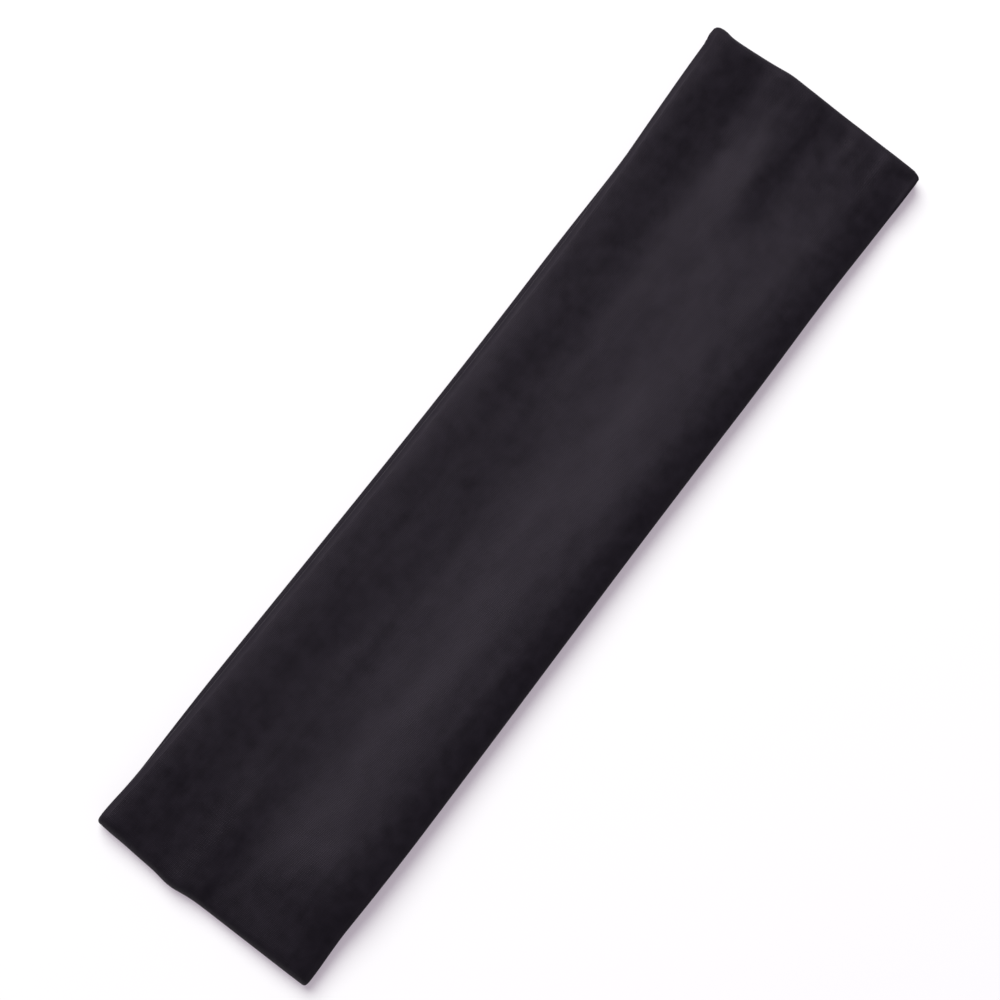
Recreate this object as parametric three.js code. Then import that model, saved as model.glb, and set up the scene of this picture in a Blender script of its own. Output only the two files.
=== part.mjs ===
// Sports headband: one strip of stretch jersey folded lengthwise and sewn into a tube by an
// inner overlocked seam. The tube's two ends are sewn together by an overlocked end seam, which
// closes the loop. The loop lies pressed flat: front half on top, back half underneath.
//
// Millimetres. +X runs along the flattened loop to its end seam, +Y across its width, +Z up.
// The origin is at the middle of the underside.

import * as THREE from 'three';
import { mergeGeometries, mergeVertices } from 'three/addons/utils/BufferGeometryUtils.js';

// ---- Driving dimensions -------------------------------------------------------------------

const bandLength = 235;       // flattened loop, fold to fold
const bandWidth = 58;         // tube, long edge to long edge
const plyThickness = 0.45;    // the jersey
const plyAir = 0.4;           // air between the face ply and the lining ply
const plyTouch = 0.15;        // clearance between two plies that are sewn together
const threadSize = 0.2;       // sewing thread
const threadClearance = 0.125;
const stitchLength = 3;       // overlock, along both seams
const needleInset = 1.2;      // from a seam's turn to its needle thread
const looperInset = 0.55;     // from the needle thread to the loopers' inner turns
const looperOverhang = 0.3;   // how far the loopers reach past the raw edges

const seamOffset = 8;         // long seam, from the band's middle towards +Y
const seamAllowance = 6;      // long seam, from its turn to the raw edges
const seamSlit = 0.3;         // between the two plies that meet at the long seam
const ridgeSlope = 4;         // over which the lining rises onto the allowances
const gradeLength = 9;        // over which the allowances are trimmed towards the end seam
const endAllowance = 5.5;     // end seam, from its turn to the tube's raw ends

// ---- Sizes that follow --------------------------------------------------------------------

// A looper's legs lean across the seam, so its section is widened to keep the thread's size.
function leaningWidth(reach) {
  return threadSize * Math.hypot(1, reach / (stitchLength / 2));
}

const threadRoom = threadSize + 2 * threadClearance;
const tubeThickness = 2 * plyThickness + plyAir;
const turnRadius = tubeThickness + threadRoom / 2;
const bandHeight = 4 * turnRadius + plyTouch;
const foldRadius = bandHeight / 2;
const turnX = bandLength / 2 - turnRadius;
const foldX = foldRadius - bandLength / 2;

// depths of the plies' middles below the face of the band
const faceDepth = plyThickness / 2;
const liningDepth = tubeThickness - plyThickness / 2;
const upperAllowanceDepth = faceDepth + plyThickness + threadRoom;
const lowerAllowanceDepth = upperAllowanceDepth + plyThickness + plyTouch;
const ridgeDepth = lowerAllowanceDepth + plyThickness + threadRoom;

// threads of the long seam: places across the band, and depths
const longNeedleY = seamOffset - needleInset;
const longLooperY = longNeedleY - looperInset;
const longRawY = seamOffset - seamAllowance - looperOverhang;
const longLegSize = leaningWidth(longLooperY - longRawY);
const aboveAllowances = upperAllowanceDepth - plyThickness / 2 - threadRoom / 2;
const belowAllowances = lowerAllowanceDepth + plyThickness / 2 + threadRoom / 2;

// threads of the end seam: places along the band, and heights
const rawEndX = turnX - endAllowance;
const endNeedleX = turnX - needleInset;
const endLooperX = endNeedleX - looperInset;
const endRawX = rawEndX - looperOverhang;
const endLegSize = leaningWidth(endLooperX - endRawX);
const aboveEnds = bandHeight / 2 + plyTouch / 2 + tubeThickness + threadRoom / 2;
const belowEnds = bandHeight - aboveEnds;

const cloth = new THREE.MeshStandardMaterial({ color: 0x25232a, roughness: 0.9, metalness: 0 });
const thread = new THREE.MeshStandardMaterial({ color: 0x1d1b21, roughness: 0.6, metalness: 0 });

// ---- The loop's path ----------------------------------------------------------------------

// A station is a place on the face of the band: a point in the XZ plane and the outward normal.
// grade is 1 where the long seam's allowances are whole and 0 where they are trimmed away.

function station(x, z, angle, grade) {
  return { x, z, nx: Math.cos(angle), nz: Math.sin(angle), grade };
}

function arcStations(x, z, radius, fromAngle, steps, grade) {
  return Array.from({ length: steps + 1 }, (_, i) => {
    const angle = fromAngle + (Math.PI * i) / steps;
    return station(x + radius * Math.cos(angle), z + radius * Math.sin(angle), angle, grade);
  });
}

const up = Math.PI / 2;
const upperTurn = arcStations(turnX, bandHeight - turnRadius, turnRadius, -up, 8, 0);
const lowerTurn = arcStations(turnX, turnRadius, turnRadius, -up, 8, 0);
const endFold = arcStations(foldX, foldRadius, foldRadius, up, 12, 1);
const gradeX = endRawX - endLegSize;
const gradeShares = [0, 0.25, 0.5, 1];

const path = [
  station(rawEndX, upperTurn[0].z, -up, 0),
  ...upperTurn,
  ...gradeShares.map((share) => station(gradeX - share * gradeLength, bandHeight, up, share)),
  ...endFold,
  ...gradeShares.toReversed().map((share) => station(gradeX - share * gradeLength, 0, -up, share)),
  ...lowerTurn,
  station(rawEndX, lowerTurn.at(-1).z, up, 0),
];

function place({ x, z, nx, nz }, y, depth) {
  return new THREE.Vector3(x - nx * depth, y, z - nz * depth);
}

// ---- Cloth strip --------------------------------------------------------------------------

function arcPoints(y, depth, radius, fromAngle, sweep, steps) {
  return Array.from({ length: steps + 1 }, (_, i) => {
    const angle = fromAngle + (sweep * i) / steps;
    return new THREE.Vector2(y + radius * Math.cos(angle), depth + radius * Math.sin(angle));
  });
}

// The ply's turn at the long seam, then its allowance: a walk in equal steps that bends evenly
// through curl half-turns. It is shifted so that it reaches the seam and no further.
function curledEdge(depth, curl, tail) {
  const steps = 8;
  const radius = (ridgeDepth - lowerAllowanceDepth) / 2;
  const stride = 2 * radius * Math.sin(Math.PI / (2 * steps));
  const points = [new THREE.Vector2(0, depth)];
  const walk = (heading, distance) => {
    const step = new THREE.Vector2(Math.cos(heading), -Math.sin(heading));
    points.push(points.at(-1).clone().addScaledVector(step, distance));
  };
  for (let i = 0; i < steps; i++) {
    walk((Math.PI * curl * (i + 0.5)) / steps, stride);
  }
  walk(Math.PI * curl, tail);
  const reach = Math.max(...points.map((p) => p.x)) + plyThickness / 2;
  return points.map((p) => p.setX(p.x + seamOffset - reach));
}

// The strip's middle line across the tube, from one raw edge to the other, as (y, depth).
// As grade falls the allowances get shorter, then their turn uncurls and the ridge sinks.
function stripLine(grade) {
  const length = seamAllowance * Math.max(0, 2 * grade - 1);
  const curl = Math.min(1, 2 * grade);
  const ridge = liningDepth + (ridgeDepth - liningDepth) * curl;
  const foldR = (liningDepth - faceDepth) / 2;
  const foldY = bandWidth / 2 - tubeThickness / 2;
  const upperEdgeY = seamOffset + seamSlit - (length > 0 ? length + seamSlit : 0);
  const upperDepth = liningDepth + (upperAllowanceDepth - liningDepth) * curl;
  const upperStart = seamOffset + seamSlit + ridgeSlope;
  const ridgeStart = seamOffset - seamAllowance - looperOverhang - longLegSize - ridgeSlope;
  return [
    new THREE.Vector2(upperEdgeY, upperDepth),
    new THREE.Vector2(upperStart - ridgeSlope / 2, upperDepth),
    new THREE.Vector2(upperStart, liningDepth),
    ...arcPoints(foldY, faceDepth + foldR, foldR, up, -Math.PI, 8),
    ...arcPoints(-foldY, faceDepth + foldR, foldR, -up, -Math.PI, 8),
    new THREE.Vector2(ridgeStart, liningDepth),
    new THREE.Vector2(ridgeStart + ridgeSlope / 2, (liningDepth + ridge) / 2),
    new THREE.Vector2(ridgeStart + ridgeSlope, ridge),
    ...curledEdge(ridge, curl, Math.max(plyTouch, length - plyThickness)),
  ];
}

// The strip's closed outline: its middle line moved half a ply to each side.
function stripOutline(grade) {
  const line = stripLine(grade);
  const normals = line.map((point, i) => {
    const before = line[Math.max(0, i - 1)];
    const after = line[Math.min(line.length - 1, i + 1)];
    const along = after.clone().sub(before).normalize();
    return new THREE.Vector2(-along.y, along.x);
  });
  const side = (offset) => line.map((p, i) => p.clone().addScaledVector(normals[i], offset));
  return [...side(plyThickness / 2), ...side(-plyThickness / 2).reverse()];
}

function pointsGeometry(points, triangles) {
  const geometry = new THREE.BufferGeometry().setFromPoints(points);
  geometry.setIndex(triangles.flat());
  return geometry;
}

// Skins a row of outlines along the path and closes it with the two raw ends.
function loft(stations, outlineAt) {
  const outlines = stations.map(({ grade }) => outlineAt(grade));
  const rings = outlines.map((outline, i) => outline.map((p) => place(stations[i], p.x, p.y)));
  const count = rings[0].length;
  const skin = [];
  for (let ring = 0; ring < rings.length - 1; ring++) {
    for (let i = 0; i < count; i++) {
      const a = ring * count + i;
      const b = ring * count + ((i + 1) % count);
      skin.push([a, b + count, b], [a, a + count, b + count]);
    }
  }
  const capOf = (outline) => THREE.ShapeUtils.triangulateShape(outline, []);
  const firstCap = capOf(outlines[0]).map(([a, b, c]) => [a, c, b]);
  const parts = [
    pointsGeometry(rings.flat(), skin),
    pointsGeometry(rings[0], firstCap),
    pointsGeometry(rings.at(-1), capOf(outlines.at(-1))),
  ];
  return mergeVertices(mergeGeometries(parts), 1e-4);
}

// ---- Threads ------------------------------------------------------------------------------

// A thread runs straight from point to point.
class ThreadLine extends THREE.Curve {
  constructor(points) {
    super();
    this.points = points;
  }

  getPoint(t, target = new THREE.Vector3()) {
    const spans = this.points.length - 1;
    const i = Math.min(Math.floor(t * spans), spans - 1);
    return target.copy(this.points[i]).lerp(this.points[i + 1], t * spans - i);
  }

  getUtoTmapping(u) {
    return u;
  }
}

// depthSize is the section's size along its first axis, acrossSize along its second.
function threadGeometry(points, depthSize, acrossSize) {
  const d = depthSize / 2;
  const a = acrossSize / 2;
  const corners = [[-d, -a], [d, -a], [d, a], [-d, a]];
  const section = new THREE.Shape(corners.map(([x, y]) => new THREE.Vector2(x, y)));
  const geometry = new THREE.ExtrudeGeometry(section, {
    extrudePath: new ThreadLine(points),
    steps: points.length - 1,
    bevelEnabled: false,
  });
  geometry.deleteAttribute('normal');
  geometry.deleteAttribute('uv');
  return mergeVertices(geometry, 1e-4);
}

// The whole-allowance part of the path, walked in even steps of half a stitch.
const seamRun = path.filter(({ grade }) => grade === 1);

function seamStations() {
  const walk = new THREE.CurvePath();
  for (let i = 0; i < seamRun.length - 1; i++) {
    walk.add(new THREE.LineCurve3(place(seamRun[i], 0, faceDepth), place(seamRun[i + 1], 0, faceDepth)));
  }
  const halfStitches = 2 * Math.round(walk.getLength() / stitchLength);
  return Array.from({ length: halfStitches + 1 }, (_, i) => {
    const p = walk.getPointAt(i / halfStitches);
    const fromFold = Math.atan2(p.z - foldRadius, p.x - foldX);
    const angle = p.x < foldX ? fromFold : Math.sign(p.z - foldRadius) * up;
    const x = p.x < foldX ? foldX + foldRadius * Math.cos(angle) : p.x;
    const z = foldRadius + foldRadius * Math.sin(angle);
    return station(x, z, angle, 1);
  });
}

function longNeedle() {
  const points = seamRun.map((at) => place(at, longNeedleY, aboveAllowances));
  return threadGeometry(points, threadSize, threadSize);
}

function longLooper(depth) {
  const points = seamStations().map((at, i) => place(at, i % 2 ? longRawY : longLooperY, depth));
  return threadGeometry(points, threadSize, longLegSize);
}

const endSeamLength = bandWidth - tubeThickness;

function endNeedle() {
  const points = [-0.5, 0.5].map((share) =>
    new THREE.Vector3(endNeedleX, share * endSeamLength, aboveEnds));
  return threadGeometry(points, threadSize, threadSize);
}

function endLooper(z) {
  const halfStitches = 2 * Math.round(endSeamLength / stitchLength);
  const points = Array.from({ length: halfStitches + 1 }, (_, i) => {
    const y = endSeamLength * (i / halfStitches - 0.5);
    return new THREE.Vector3(i % 2 ? endRawX : endLooperX, y, z);
  });
  return threadGeometry(points, threadSize, endLegSize);
}

// ---- The headband -------------------------------------------------------------------------

const headband = new THREE.Group();

function add(name, geometry, material) {
  const mesh = new THREE.Mesh(geometry, material.clone());
  mesh.name = name;
  headband.add(mesh);
}

add('band_cloth_strip', loft(path, stripOutline), cloth);
add('long_seam_needle_thread', longNeedle(), thread);
add('long_seam_upper_looper_thread', longLooper(aboveAllowances), thread);
add('long_seam_lower_looper_thread', longLooper(belowAllowances), thread);
add('end_seam_needle_thread', endNeedle(), thread);
add('end_seam_upper_looper_thread', endLooper(aboveEnds), thread);
add('end_seam_lower_looper_thread', endLooper(belowEnds), thread);

export default headband;
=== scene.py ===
"""A black stretch-knit sports headband, lying flat on a pale floor.

Metres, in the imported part's frame: +X runs along the flattened loop to its end seam, +Y across
the band's width to the long edge nearer the long seam, +Z up.
"""

import math

import bmesh
import bpy
from mathutils import Matrix, Vector, noise


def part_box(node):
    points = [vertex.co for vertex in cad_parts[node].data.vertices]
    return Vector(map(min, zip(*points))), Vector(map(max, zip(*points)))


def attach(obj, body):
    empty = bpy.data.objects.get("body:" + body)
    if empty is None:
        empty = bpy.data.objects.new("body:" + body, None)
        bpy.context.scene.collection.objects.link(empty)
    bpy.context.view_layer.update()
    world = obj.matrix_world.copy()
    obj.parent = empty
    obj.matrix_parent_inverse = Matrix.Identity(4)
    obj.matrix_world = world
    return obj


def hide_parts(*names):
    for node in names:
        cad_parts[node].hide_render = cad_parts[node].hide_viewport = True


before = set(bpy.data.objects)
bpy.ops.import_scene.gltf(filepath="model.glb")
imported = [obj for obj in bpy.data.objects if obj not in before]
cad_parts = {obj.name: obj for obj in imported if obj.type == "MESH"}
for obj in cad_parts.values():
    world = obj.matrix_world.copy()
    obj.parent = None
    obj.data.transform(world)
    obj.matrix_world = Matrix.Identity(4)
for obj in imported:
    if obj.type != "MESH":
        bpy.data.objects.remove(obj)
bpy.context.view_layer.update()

MM = 0.001

# ---------------------------------------------------------------------------------------------
# The camera looks down on the band from a little beyond its plain end. The band lies across the
# view from the lower left to the upper right.
# ---------------------------------------------------------------------------------------------

BAND_ANGLE = math.radians(52.25)     # the band's length, above the picture's horizontal
CAMERA_TILT = math.radians(7.5)       # off the vertical, towards the band's plain end
CAMERA_DISTANCE = 0.5
CAMERA_LENS = 79
CAMERA_AIM = Vector((-0.0042, 0.0024, 0.003))

camera_back = Vector((-math.sin(CAMERA_TILT), 0, math.cos(CAMERA_TILT)))
band_in_view = Vector((math.cos(CAMERA_TILT), 0, math.sin(CAMERA_TILT)))
band_side = Vector((0, 1, 0))
camera_right = band_in_view * math.cos(BAND_ANGLE) - band_side * math.sin(BAND_ANGLE)
camera_up = band_in_view * math.sin(BAND_ANGLE) + band_side * math.cos(BAND_ANGLE)

camera = bpy.data.objects.new("camera", bpy.data.cameras.new("camera"))
bpy.context.collection.objects.link(camera)
camera.data.lens = CAMERA_LENS
camera.data.sensor_width = 36
camera_turn = Matrix((camera_right, camera_up, camera_back)).transposed()
camera.matrix_world = (
    Matrix.Translation(CAMERA_AIM + camera_back * CAMERA_DISTANCE) @ camera_turn.to_4x4()
)
bpy.context.scene.camera = camera

# ---------------------------------------------------------------------------------------------
# The band is one strip of fine polyester and spandex jersey. It is folded lengthwise, sewn into
# a tube along a seam inside it, turned right side out, and its two ends are sewn together. It
# lies pressed flat: from the floor up, the back half's face and lining, then the front half's
# lining and face, with the end seam's allowances between the halves.
# ---------------------------------------------------------------------------------------------

band_low, band_high = (Vector(corner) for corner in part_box("band_cloth_strip"))
BAND_LENGTH = band_high.x - band_low.x
BAND_WIDTH = band_high.y - band_low.y
RUN_END = 115 * MM             # where the loop's straight runs end and its folds begin
PLY = 0.42 * MM                # the jersey
PLY_PITCH = 0.46 * MM          # between the middles of two plies that touch
THREAD = 0.2 * MM              # the sewing thread that lies between plies at a seam
EDGE_FOLD = 0.6 * MM           # radius of the ply's middle round a long edge
EDGE_Y = BAND_WIDTH / 2 - EDGE_FOLD - PLY / 2
SEAM_Y = 8 * MM                # the long seam, on the lining
SEAM_ALLOWANCE = 5.5 * MM
SEAM_SPREAD = 3.5 * MM         # over which the lining rises to the seam
END_ALLOWANCE = 5.5 * MM
GRADE = (92 * MM, 108 * MM)    # over which the long seam's allowances thin out to the end seam
FLOOR_GAP = 0.03 * MM          # under the back half's face
RIDGE = 3 * PLY_PITCH + 2 * THREAD


def smooth(x, start, end):
    """0 at start and 1 at end, with an easy slope between them."""
    t = min(1, max(0, (x - start) / (end - start)))
    return t * t * (3 - 2 * t)


def bell(x, middle, spread):
    return math.exp(-(((x - middle) / spread) ** 2))


def steps(start, end, size):
    """Numbers from start to end, about size apart, without the first one."""
    count = max(1, round(abs(end - start) / size))
    return [start + (end - start) * (i + 1) / count for i in range(count)]


def allowance_share(x):
    """How much of the long seam's allowances is left at x."""
    return 1 - 0.95 * smooth(x, *GRADE)


def tube_thickness(x, y):
    """From the middle of the lining ply to the middle of the face ply."""
    roll = smooth(abs(y), 19 * MM, EDGE_Y + EDGE_FOLD)
    roll *= 1 - 0.8 * smooth(x, RUN_END - 20 * MM, RUN_END - 4 * MM)
    ridge = smooth(y, -6 * MM, 2 * MM) - smooth(y, SEAM_Y - 0.5 * MM, SEAM_Y + 7 * MM)
    plain = PLY_PITCH + (2 * EDGE_FOLD - PLY_PITCH) * roll
    return plain + (RIDGE - plain) * ridge * allowance_share(x)


def face_height(x, y):
    """How high the front half's face stands: a slack tube, hollow along its +Y side.

    The numbers are millimetres. Each line is a rise or a fall across the band, from one y to
    another, and some of them fade along x. The loop's middle, its plain end and its seamed end
    each have their own.
    """
    x, y = x / MM, y / MM
    plain = smooth(x, -50, -100)
    seamed = smooth(x, 5, 90)
    near = smooth(x, 70, 96)       # the hollow that the end seam draws in beside the long seam
    middle = (1 - plain) * (1 - seamed)
    height = 4.95 + middle * (1.8 * smooth(y, 6, -23) - 0.6 * smooth(y, 28, 8) + 0.55)
    height += plain * (
        1.9 * smooth(y, 2, -23) * (1 - 0.6 * smooth(x, -92, -113)) - 0.9 * smooth(y, 28, 12)
        - 0.3 * smooth(y, 7, 0) + 1.05 - 0.75 * smooth(x, -96, -118)
    )
    height += seamed * (
        (0.8 - 0.25 * near) * smooth(y, 12, 5 * near - 5) * smooth(x, 114, 90)
        - 1.2 * smooth(y, 29, 12)
        - 0.4 * smooth(y, 3, -6) * near + 0.85 + 0.15 * smooth(x, 80, 112)
        + 0.75 * smooth(y, 1 - 7 * near, -23) * (1 - 0.75 * smooth(x, 84, 110))
    )
    # the tube rounds down to its long edges
    height -= (1.4 - 0.5 * plain - 0.4 * seamed) * max(0, (-y - 18.5) / 10.5) ** 3
    height -= 0.25 * max(0, (y - 19) / 10) ** 3
    # slack ripples, and the puckers that the end seam draws into the face
    height += 0.10 * noise.noise(Vector((x / 26, y / 9, 2)))
    height += 0.05 * noise.noise(Vector((x / 9, y / 5, 7)))
    pucker = bell(x, 112, 9) * noise.noise(Vector((x / 16, y / 3.2, 4)))
    height += 0.1 * pucker - 0.3 * bell(x, 112.5, 1.6) * bell(y, -9.5, 2.6)
    seam_bulk = 115 - 0.055 * y
    height += 0.5 * smooth(x, seam_bulk - 6, seam_bulk + 2)
    return height * MM


def ply_heights(x, y):
    """Heights of the plies' middles, as (lining, face) pairs for each layer of the loop."""
    tube = tube_thickness(x, y)
    back_face = PLY / 2 + FLOOR_GAP
    back_lining = back_face + tube
    turned_in = smooth(x, RUN_END - END_ALLOWANCE - 9 * MM, RUN_END - END_ALLOWANCE)
    lower_lining = back_lining + PLY_PITCH + THREAD
    upper_face = lower_lining + 2 * PLY_PITCH
    upper_lining = upper_face + PLY_PITCH
    packed = back_lining + PLY_PITCH + (4 * PLY_PITCH + 2 * THREAD) * turned_in
    spare = face_height(x, y) - tube - PLY / 2 - packed
    front_lining = packed + (spare + math.hypot(spare, 0.3 * MM)) / 2
    return {
        "back": (back_lining, back_face),
        "lower end": (lower_lining, lower_lining + PLY_PITCH),
        "upper end": (upper_lining, upper_face),
        "front": (front_lining, front_lining + tube),
    }


def seam_end_inset(y):
    """How far the end seam's fold stands back from the band's full length."""
    nub = 0.35 * bell(y, EDGE_Y - 1.2 * MM, 1.6 * MM) + 0.15 * bell(y, 9 * MM, 2.5 * MM)
    corner = 1.9 * smooth(y, 5 * MM, 27 * MM) - nub
    return MM * (corner + 0.5 * smooth(-y, 27 * MM, 29.5 * MM))


def plain_end_inset(y):
    """The same for the plain fold, which bulges where the long seam goes round it."""
    bulge = bell(y, 8 * MM, 4 * MM)
    corner = 0.5 * smooth(y, 14 * MM, 24 * MM) + 0.35 * smooth(y, 23 * MM, 30 * MM)
    return MM * (0.7 * (1 - bulge) + corner)


def edge_flare(x, y):
    """The cloth spreads a little towards the four corners, and draws in between them."""
    plain = 0.02 * smooth(-x, 102 * MM, RUN_END)
    seamed = (0.04 if y > 0 else 0.02) * smooth(x, 70 * MM, RUN_END)
    return 1 + plain + seamed - 0.035 * bell(x, 15 * MM, 75 * MM)


def cloth_place(column, y, level):
    """The point of the cloth at a column of the loop, y across the band.

    A column is x, the angle that the loop's face looks along, and the two layers that the
    loop turns between. level goes from 0 on the lining to 1 on the face.
    """
    x, angle, over, under = column
    heights = ply_heights(x, y)
    tops, bottoms = heights[over], heights[under]
    top = tops[0] + (tops[1] - tops[0]) * level
    bottom = bottoms[0] + (bottoms[1] - bottoms[0]) * level
    reach = (tops[1] - bottoms[1]) / 2 + PLY / 2
    if x > 0:
        end = BAND_LENGTH / 2 - reach - seam_end_inset(y)
    else:
        end = BAND_LENGTH / 2 - reach - plain_end_inset(y)
    radius = (top - bottom) / 2
    # the front half lies off the back one, the band bows, and the seam's corners are its own
    slide = -0.6 * MM * (1 - smooth(abs(x + 15 * MM), 60 * MM, 105 * MM)) * math.sin(angle)
    slide -= 0.5 * MM * (1 - (x / RUN_END) ** 2)
    slide += 0.4 * MM * smooth(x, 112.5 * MM, RUN_END) * smooth(y, 25 * MM, 28 * MM)
    rounding = (1 - abs(math.sin(angle))) * smooth(abs(y), EDGE_Y - 4 * MM, EDGE_Y + EDGE_FOLD)
    slide -= math.copysign((1.1 * MM if x > 0 else 0.05 * MM) * rounding, y)
    return Vector((
        x * end / RUN_END + radius * math.cos(angle),
        y * edge_flare(x, y) + slide,
        (top + bottom) / 2 + radius * math.sin(angle),
    ))


def strip_rows():
    """Across the strip from raw edge to raw edge: the kind and value of each row of points."""
    turn = [math.pi * i / 6 for i in range(1, 6)]
    raw = SEAM_Y - SEAM_ALLOWANCE
    foot = SEAM_Y + SEAM_SPREAD
    rows = [("over", y) for y in [raw] + steps(raw, foot, 1 * MM)]
    rows += [("lining", y) for y in steps(foot, EDGE_Y, 1.8 * MM)]
    rows += [("edge", angle) for angle in turn]
    rows += [("face", y) for y in [EDGE_Y] + steps(EDGE_Y, -EDGE_Y, 0.85 * MM)]
    rows += [("other edge", angle) for angle in turn]
    rows += [("lining", y) for y in [-EDGE_Y] + steps(-EDGE_Y, SEAM_Y - PLY, 1.8 * MM)]
    rows += [("turn", angle) for angle in turn[::2]]
    rows += [("under", y) for y in steps(SEAM_Y - PLY, raw, 1 * MM)]
    return rows


def row_place(row, x):
    """(y, level) of a row where the loop is at x."""
    kind, value = row
    if kind == "lining":
        return value, 0
    if kind == "face":
        return value, 1
    if kind == "edge":
        return EDGE_Y + EDGE_FOLD * math.sin(value), (1 - math.cos(value)) / 2
    if kind == "other edge":
        return -EDGE_Y - EDGE_FOLD * math.sin(value), (1 + math.cos(value)) / 2
    share = allowance_share(x)
    under = (PLY_PITCH + THREAD) / RIDGE
    if kind == "turn":
        y = SEAM_Y - PLY + 0.25 * MM * math.sin(value)
        return y, under * (1 - math.cos(value)) / 2 * share
    level = under if kind == "under" else under + PLY_PITCH / RIDGE
    if value < SEAM_Y:
        value = SEAM_Y - PLY + (value - SEAM_Y + PLY) * share
    return value, level * share * (1 - smooth(value, SEAM_Y, SEAM_Y + SEAM_SPREAD))


def loop_columns():
    """Round the loop from raw end to raw end."""
    up = math.pi / 2
    seam_turn = [-up + math.pi * i / 9 for i in range(1, 9)]
    fold = [up + math.pi * i / 12 for i in range(1, 12)]
    raw = RUN_END - END_ALLOWANCE
    near = 94 * MM
    turned_in = [raw] + steps(raw, RUN_END, 1.1 * MM)
    front = [RUN_END] + steps(RUN_END, near, 0.9 * MM) + steps(near, -RUN_END, 1.6 * MM)
    columns = [(x, -up, "front", "upper end") for x in turned_in]
    columns += [(RUN_END, angle, "front", "upper end") for angle in seam_turn]
    columns += [(x, up, "front", "back") for x in front]
    columns += [(-RUN_END, angle, "front", "back") for angle in fold]
    columns += [(-x, 3 * up, "front", "back") for x in [RUN_END] + steps(
        RUN_END, -RUN_END, 2.4 * MM)]
    columns += [(RUN_END, angle, "lower end", "back") for angle in seam_turn]
    columns += [(x, up, "lower end", "back") for x in reversed(turned_in)]
    return columns


# The strip is a flat grid at first, and then each of its points goes to its folded place.
rows, columns = strip_rows(), loop_columns()
cloth_mesh = bmesh.new()
cloth_uv = cloth_mesh.loops.layers.uv.new("cut")
# the attribute "fold" holds the folds' wear and the painted light along the band's middle
fold_wear_and_painted_light = cloth_mesh.verts.layers.float.new("fold")
bmesh.ops.create_grid(
    cloth_mesh, x_segments=len(columns) - 1, y_segments=len(rows) - 1, size=1, calc_uvs=False
)
cut_place = {}
for point in cloth_mesh.verts:
    i = round((point.co.x + 1) / 2 * (len(columns) - 1))
    j = round((point.co.y + 1) / 2 * (len(rows) - 1))
    cut_place[point] = (i, j)
    y, level = row_place(rows[j], columns[i][0])
    point.co = cloth_place(columns[i], y, level)
    end_fold = abs(math.cos(columns[i][1]))
    long_fold = smooth(abs(y), EDGE_Y - 1 * MM, EDGE_Y + 0.4 * MM)
    # painted light, not wear: the band's middle, away from both ends, is made a little lighter
    # and rougher, for how the key light falls along it
    painted_middle_light = 0.16 * smooth(columns[i][0], 104 * MM, 70 * MM)
    painted_middle_light *= smooth(columns[i][0], -108 * MM, -84 * MM)
    # how fluffy the cloth is worn along its folds, and the painted light along the band's middle
    point[fold_wear_and_painted_light] = max(long_fold, end_fold * level, painted_middle_light)

# lengths along and across the cut strip, measured on the folded one
by_place = {place: point for point, place in cut_place.items()}
middle_row = next(j for j, row in enumerate(rows) if row[0] == "face" and row[1] < 0)
middle_column = len(columns) // 3
along, across = [0.0], [0.0]
for i in range(1, len(columns)):
    step = by_place[i, middle_row].co - by_place[i - 1, middle_row].co
    along.append(along[-1] + step.length)
for j in range(1, len(rows)):
    step = by_place[middle_column, j].co - by_place[middle_column, j - 1].co
    across.append(across[-1] + step.length)
for face in cloth_mesh.faces:
    face.smooth = True
    for corner in face.loops:
        i, j = cut_place[corner.vert]
        corner[cloth_uv].uv = (along[i], across[j])
bmesh.ops.recalc_face_normals(cloth_mesh, faces=cloth_mesh.faces)

band = bpy.data.objects.new("band_cloth", bpy.data.meshes.new("band_cloth"))
cloth_mesh.to_mesh(band.data)
cloth_mesh.free()
bpy.context.collection.objects.link(band)
thicken = band.modifiers.new("jersey", "SOLIDIFY")
thicken.thickness = PLY
thicken.offset = 0

# The knit: columns of V-shaped stitches, with some rows of them a little fuller than others.
jersey_knit = bpy.data.node_groups.new("jersey_knit", "ShaderNodeTree")
knit_sockets = jersey_knit.interface
knit_sockets.new_socket("Cut Place", in_out="INPUT", socket_type="NodeSocketVector")
knit_sockets.new_socket("Stitch Width", in_out="INPUT", socket_type="NodeSocketFloat")
knit_sockets.new_socket("Stitch Height", in_out="INPUT", socket_type="NodeSocketFloat")
knit_sockets.new_socket("Loops", in_out="OUTPUT", socket_type="NodeSocketFloat")
knit_sockets.new_socket("Row Tone", in_out="OUTPUT", socket_type="NodeSocketFloat")
knit_in = jersey_knit.nodes.new("NodeGroupInput")
knit_out = jersey_knit.nodes.new("NodeGroupOutput")


def maths(tree, operation, *values):
    """A chain of maths: each value is a number or an output socket."""
    node = tree.nodes.new("ShaderNodeMath")
    node.operation = operation
    for socket, value in zip(node.inputs, values):
        if isinstance(value, (int, float)):
            socket.default_value = value
        else:
            tree.links.new(value, socket)
    return node.outputs[0]


def link(tree, source, target):
    tree.links.new(source, target)


knit_split = jersey_knit.nodes.new("ShaderNodeSeparateXYZ")
link(jersey_knit, knit_in.outputs["Cut Place"], knit_split.inputs[0])
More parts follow.
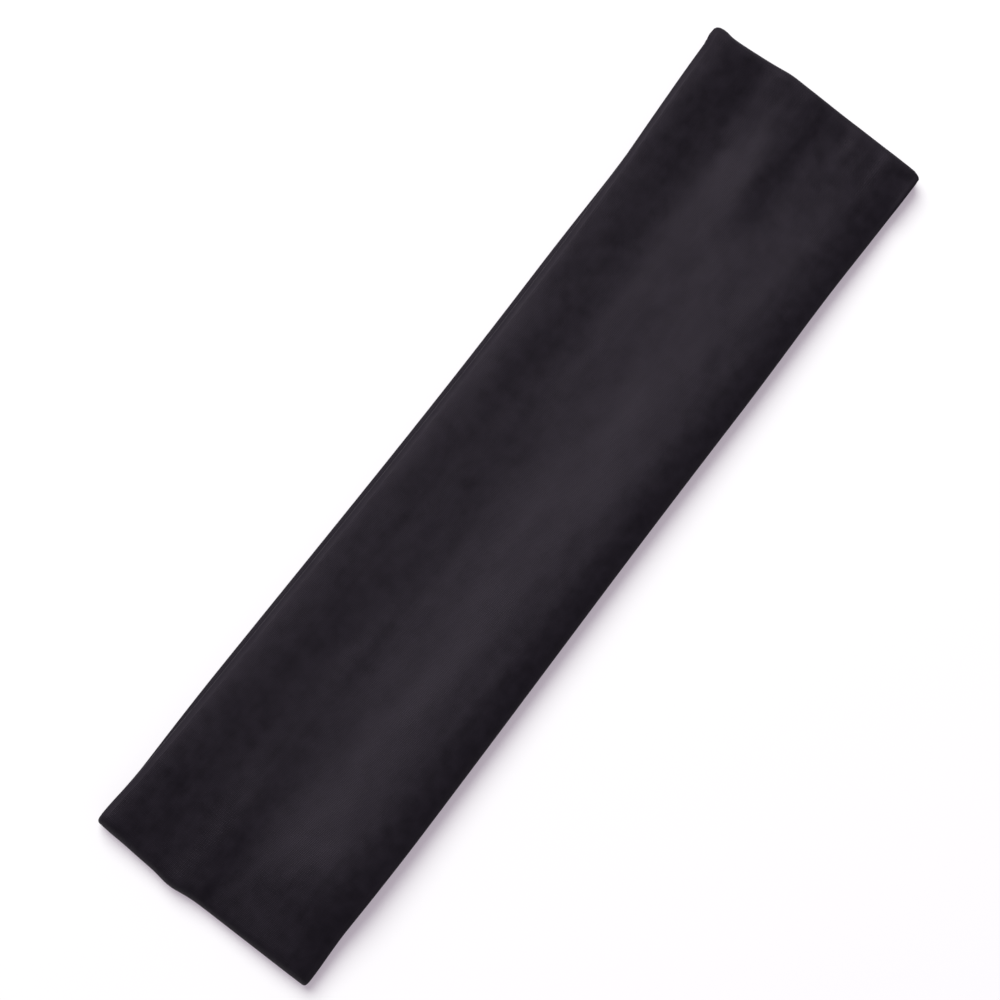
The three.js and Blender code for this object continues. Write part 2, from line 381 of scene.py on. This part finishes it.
# the stitches' columns run across the strip, and its rows along it
wale = maths(jersey_knit, "DIVIDE", knit_split.outputs["X"], knit_in.outputs["Stitch Width"])
course = maths(jersey_knit, "DIVIDE", knit_split.outputs["Y"], knit_in.outputs["Stitch Height"])
in_wale = maths(jersey_knit, "FRACT", wale)
off_middle = maths(
    jersey_knit, "MULTIPLY", maths(
        jersey_knit, "ABSOLUTE", maths(jersey_knit, "SUBTRACT", in_wale, 0.5)), 2)
leg = maths(jersey_knit, "SINE", maths(jersey_knit, "MULTIPLY", off_middle, math.pi))
lean = maths(jersey_knit, "MULTIPLY_ADD", off_middle, 0.6, course)
loop = maths(
    jersey_knit, "SINE", maths(
        jersey_knit, "MULTIPLY", maths(jersey_knit, "FRACT", lean), math.pi))
fullness = maths(jersey_knit, "MULTIPLY_ADD", loop, 0.65, 0.35)
link(jersey_knit, maths(jersey_knit, "MULTIPLY", leg, fullness), knit_out.inputs["Loops"])
row_noise = jersey_knit.nodes.new("ShaderNodeTexNoise")
row_noise.noise_dimensions = "1D"
row_noise.inputs["Scale"].default_value = 1
row_noise.inputs["Detail"].default_value = 3
link(jersey_knit, maths(jersey_knit, "MULTIPLY", course, 0.35), row_noise.inputs["W"])
link(jersey_knit, row_noise.outputs["Fac"], knit_out.inputs["Row Tone"])

jersey = bpy.data.materials.new("black_jersey")
jersey.use_nodes = True
nodes = jersey.node_tree.nodes
shader = nodes["Principled BSDF"]
shader.inputs["Specular IOR Level"].default_value = 0.22
shader.inputs["Specular Tint"].default_value = (0.95, 0.83, 1, 1)
shader.inputs["Sheen Weight"].default_value = 0.02
shader.inputs["Sheen Roughness"].default_value = 0.45
shader.inputs["Sheen Tint"].default_value = (0.9, 0.82, 1, 1)
cut = nodes.new("ShaderNodeUVMap")
cut.uv_map = "cut"
knit = nodes.new("ShaderNodeGroup")
knit.node_tree = jersey_knit
knit.inputs["Stitch Width"].default_value = 0.62 * MM
knit.inputs["Stitch Height"].default_value = 0.48 * MM
link(jersey.node_tree, cut.outputs[0], knit.inputs["Cut Place"])
place = nodes.new("ShaderNodeTexCoord")
mottle = nodes.new("ShaderNodeTexNoise")
mottle.inputs["Scale"].default_value = 330
mottle.inputs["Detail"].default_value = 4
link(jersey.node_tree, place.outputs["Object"], mottle.inputs["Vector"])
pile = nodes.new("ShaderNodeTexNoise")
pile.inputs["Scale"].default_value = 2600
pile.inputs["Detail"].default_value = 2
link(jersey.node_tree, place.outputs["Object"], pile.inputs["Vector"])
# the fold attribute: real fluff along the folds, and painted light along the band's middle
wear_and_painted_light = nodes.new("ShaderNodeAttribute")
wear_and_painted_light.attribute_name = "fold"
tone = maths(jersey.node_tree, "MULTIPLY_ADD", mottle.outputs["Fac"], 1.1, -0.25)
tone = maths(jersey.node_tree, "MULTIPLY_ADD", knit.outputs["Row Tone"], 0.35, tone)
tone = maths(jersey.node_tree, "MULTIPLY_ADD", knit.outputs["Loops"], 0.25, tone)
# wear on the folds, and the painted light in the band's middle, lighten the black a little
tone = maths(jersey.node_tree, "MULTIPLY_ADD", wear_and_painted_light.outputs["Fac"], 0.1, tone)
blacks = nodes.new("ShaderNodeValToRGB")
blacks.color_ramp.elements[0].position = 0.2
blacks.color_ramp.elements[0].color = (0.0018, 0.0013, 0.0024, 1)
blacks.color_ramp.elements[1].position = 1.0
blacks.color_ramp.elements[1].color = (0.0062, 0.0047, 0.0078, 1)
link(jersey.node_tree, tone, blacks.inputs[0])
link(jersey.node_tree, blacks.outputs[0], shader.inputs["Base Color"])
patches = nodes.new("ShaderNodeTexNoise")
patches.inputs["Scale"].default_value = 120
patches.inputs["Detail"].default_value = 3
link(jersey.node_tree, place.outputs["Object"], patches.inputs["Vector"])
rough = maths(jersey.node_tree, "MULTIPLY_ADD", mottle.outputs["Fac"], 0.19, 0.215)
rough = maths(jersey.node_tree, "MULTIPLY_ADD", patches.outputs["Fac"], 0.13, rough)
rough = maths(jersey.node_tree, "MULTIPLY_ADD", wear_and_painted_light.outputs["Fac"], 0.4, rough)
rough = maths(jersey.node_tree, "MULTIPLY_ADD", knit.outputs["Loops"], -0.05, rough)
link(jersey.node_tree, rough, shader.inputs["Roughness"])
bump = nodes.new("ShaderNodeBump")
bump.inputs["Strength"].default_value = 0.5
bump.inputs["Distance"].default_value = 0.06 * MM
height = maths(jersey.node_tree, "MULTIPLY_ADD", pile.outputs["Fac"], 0.5, knit.outputs["Loops"])
link(jersey.node_tree, height, bump.inputs["Height"])
link(jersey.node_tree, bump.outputs[0], shader.inputs["Normal"])
band.data.materials.append(jersey)
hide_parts("band_cloth_strip")
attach(band, "root")

# ---------------------------------------------------------------------------------------------
# The long seam is a three-thread overlock: a needle thread in a line of stitches through both
# allowances, and two looper threads that zigzag over and under them and lock round their raw
# edges. It runs inside the tube, and stops where the allowances are trimmed.
# ---------------------------------------------------------------------------------------------

STITCH = 3 * MM
NEEDLE_INSET = 1.2 * MM        # from a seam's turn to its needle thread
FOLD_ARC = 5 * MM              # the loop's path round its plain fold, at the seam
SEWN_TO = 93 * MM              # where the threads stop, short of the end seam
LOOP_REACH = 0.5 * MM          # how far a looper's turn at the raw edges reaches back

sewing_thread = bpy.data.materials.new("black_sewing_thread")
sewing_thread.use_nodes = True
nodes = sewing_thread.node_tree.nodes
shader = nodes["Principled BSDF"]
shader.inputs["Specular IOR Level"].default_value = 0.5
shader.inputs["Sheen Weight"].default_value = 0.08
shader.inputs["Sheen Roughness"].default_value = 0.4
place = nodes.new("ShaderNodeTexCoord")
twist = nodes.new("ShaderNodeTexWave")
twist.bands_direction = "DIAGONAL"
twist.inputs["Scale"].default_value = 1500
twist.inputs["Distortion"].default_value = 1.5
link(sewing_thread.node_tree, place.outputs["Object"], twist.inputs["Vector"])
blacks = nodes.new("ShaderNodeValToRGB")
blacks.color_ramp.elements[0].color = (0.006, 0.005, 0.007, 1)
blacks.color_ramp.elements[1].color = (0.022, 0.019, 0.026, 1)
link(sewing_thread.node_tree, twist.outputs["Fac"], blacks.inputs[0])
link(sewing_thread.node_tree, blacks.outputs[0], shader.inputs["Base Color"])
rough = maths(sewing_thread.node_tree, "MULTIPLY_ADD", twist.outputs["Fac"], -0.15, 0.55)
link(sewing_thread.node_tree, rough, shader.inputs["Roughness"])
bump = nodes.new("ShaderNodeBump")
bump.inputs["Strength"].default_value = 0.6
bump.inputs["Distance"].default_value = 0.03 * MM
link(sewing_thread.node_tree, twist.outputs["Fac"], bump.inputs["Height"])
link(sewing_thread.node_tree, bump.outputs[0], shader.inputs["Normal"])


def sew(name, points):
    """A thread through points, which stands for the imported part's thread of that name."""
    line = bpy.data.curves.new(name, "CURVE")
    line.dimensions = "3D"
    line.bevel_depth = THREAD / 2
    line.bevel_resolution = 1
    line.resolution_u = 2
    line.use_fill_caps = True
    spline = line.splines.new("NURBS")
    spline.points.add(len(points) - 1)
    for point, place in zip(spline.points, points):
        point.co = (*place, 1)
    spline.order_u = 3
    spline.use_endpoint_u = True
    thread = bpy.data.objects.new(name + "_stitches", line)
    bpy.context.collection.objects.link(thread)
    line.materials.append(sewing_thread)
    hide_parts(name)
    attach(thread, "root")


def needle_points(count, above, below, place):
    """Stitches along a seam: place(along, inwards, height) gives a point of the seam."""
    points = []
    for i in range(count):
        start = i * STITCH
        points += [
            place(start, 0, above), place(start + STITCH * 0.3, 0, above + THREAD * 0.2),
            place(start + STITCH * 0.7, 0, above + THREAD * 0.2),
            place(start + STITCH - THREAD / 2, 0, above),
            place(start + STITCH - THREAD / 2, 0, below),
            place(start + STITCH + THREAD / 2, 0, below),
        ]
    return points + [place(count * STITCH, 0, above)]


def looper_points(count, level, middle, width, place):
    """Legs between the needle line and the raw edges, turning round the edges at middle."""
    points = []
    for i in range(count):
        start = i * STITCH
        points += [
            place(start, THREAD / 2, level), place(start + STITCH * 0.15, LOOP_REACH, level),
            place(start + STITCH * 0.4, width - LOOP_REACH, level),
            place(start + STITCH * 0.48, width, middle),
            place(start + STITCH * 0.56, width - LOOP_REACH, level),
            place(start + STITCH * 0.85, LOOP_REACH, level),
        ]
    return points + [place(count * STITCH, THREAD / 2, level)]


def long_seam_place(along, inwards, height):
    """height is over the lining's middle, in the tube."""
    run = RUN_END + SEWN_TO
    back = along - run - FOLD_ARC
    if along < run:
        column = (SEWN_TO - along, math.pi / 2, "front", "back")
    elif back < 0:
        column = (-RUN_END, math.pi * (0.5 + (along - run) / FOLD_ARC), "front", "back")
    else:
        column = (back - RUN_END, math.pi * 1.5, "front", "back")
    share = allowance_share(column[0])
    y = SEAM_Y - PLY - (NEEDLE_INSET - PLY + inwards) * share
    return cloth_place(column, y, height / tube_thickness(column[0], y) * share)


long_count = round((2 * (RUN_END + SEWN_TO) + FOLD_ARC) / STITCH)
under_level = PLY_PITCH + THREAD - PLY / 2 - THREAD / 2
over_level = 2 * PLY_PITCH + THREAD + PLY / 2 + THREAD / 2
long_width = SEAM_ALLOWANCE - NEEDLE_INSET + THREAD
sew("long_seam_needle_thread", needle_points(
    long_count, over_level, under_level, long_seam_place))
sew("long_seam_upper_looper_thread", looper_points(
    long_count, over_level, RIDGE / 2 + THREAD / 2, long_width, long_seam_place))
sew("long_seam_lower_looper_thread", looper_points(
    long_count, under_level, RIDGE / 2 - THREAD / 2, long_width, long_seam_place))

# ---------------------------------------------------------------------------------------------
# The end seam is the same overlock, through the four plies of the tube's two ends, which lie
# face to face. It closes the loop. Its stitches run across the band, inside the fold at +X, and
# its thread tails are clipped at the long edges.
# ---------------------------------------------------------------------------------------------


TAIL = 0.6 * MM                # of thread, past the row where each long edge's fold begins


def end_seam_place(along, inwards, height):
    """height is over the middle of the lower end's lining."""
    y = along - EDGE_Y - TAIL
    x = RUN_END - NEEDLE_INSET - inwards
    lower = cloth_place((x, math.pi / 2, "lower end", "back"), y, 0)
    return lower + Vector((0, 0, height))


end_count = round((2 * EDGE_Y + 2 * TAIL) / STITCH)
below_ends = -PLY / 2 - THREAD / 2
above_ends = 3 * PLY_PITCH + PLY / 2 + THREAD / 2
end_width = END_ALLOWANCE - NEEDLE_INSET + THREAD
sew("end_seam_needle_thread", needle_points(end_count, above_ends, below_ends, end_seam_place))
sew("end_seam_upper_looper_thread", looper_points(
    end_count, above_ends, 1.5 * PLY_PITCH + THREAD / 2, end_width, end_seam_place))
sew("end_seam_lower_looper_thread", looper_points(
    end_count, below_ends, 1.5 * PLY_PITCH - THREAD / 2, end_width, end_seam_place))

# ---------------------------------------------------------------------------------------------
# A sheet of white paper under one large soft light, which stands beyond the band's +X +Y
# corner. The paper glows a little, and that lightens the shadows on it.
# ---------------------------------------------------------------------------------------------

floor_mesh = bmesh.new()
bmesh.ops.create_grid(floor_mesh, x_segments=1, y_segments=1, size=3)
floor = bpy.data.objects.new("floor", bpy.data.meshes.new("floor"))
floor_mesh.to_mesh(floor.data)
floor_mesh.free()
bpy.context.collection.objects.link(floor)
paper = bpy.data.materials.new("white_floor")
paper.use_nodes = True
shader = paper.node_tree.nodes["Principled BSDF"]
shader.inputs["Base Color"].default_value = (0.525, 0.552, 0.525, 1)
shader.inputs["Emission Color"].default_value = (0.97, 0.81, 0.98, 1)
shader.inputs["Emission Strength"].default_value = 0.34
shader.inputs["Roughness"].default_value = 1
shader.inputs["Specular IOR Level"].default_value = 0
floor.data.materials.append(paper)

world = bpy.data.worlds.new("studio")
world.use_nodes = True
room = world.node_tree.nodes["Background"]
room.inputs["Color"].default_value = (0.97, 0.97, 1, 1)
seen = world.node_tree.nodes.new("ShaderNodeLightPath")
room_light = maths(world.node_tree, "MULTIPLY_ADD", seen.outputs["Is Camera Ray"], 0.65, 0.3)
link(world.node_tree, room_light, room.inputs["Strength"])
bpy.context.scene.world = world

KEY_DISTANCE = 3
key_direction = Vector((0.5, 0.85, 1.05)).normalized()
key = bpy.data.lights.new("key_light", "AREA")
key.shape = "DISK"
key.size = 2.4
key.energy = 150
key_light = bpy.data.objects.new("key_light", key)
bpy.context.collection.objects.link(key_light)
key_light.location = key_direction * KEY_DISTANCE
key_light.rotation_mode = "QUATERNION"
key_light.rotation_quaternion = key_direction.to_track_quat("Z", "Y")

bpy.context.scene.view_settings.view_transform = "Standard"
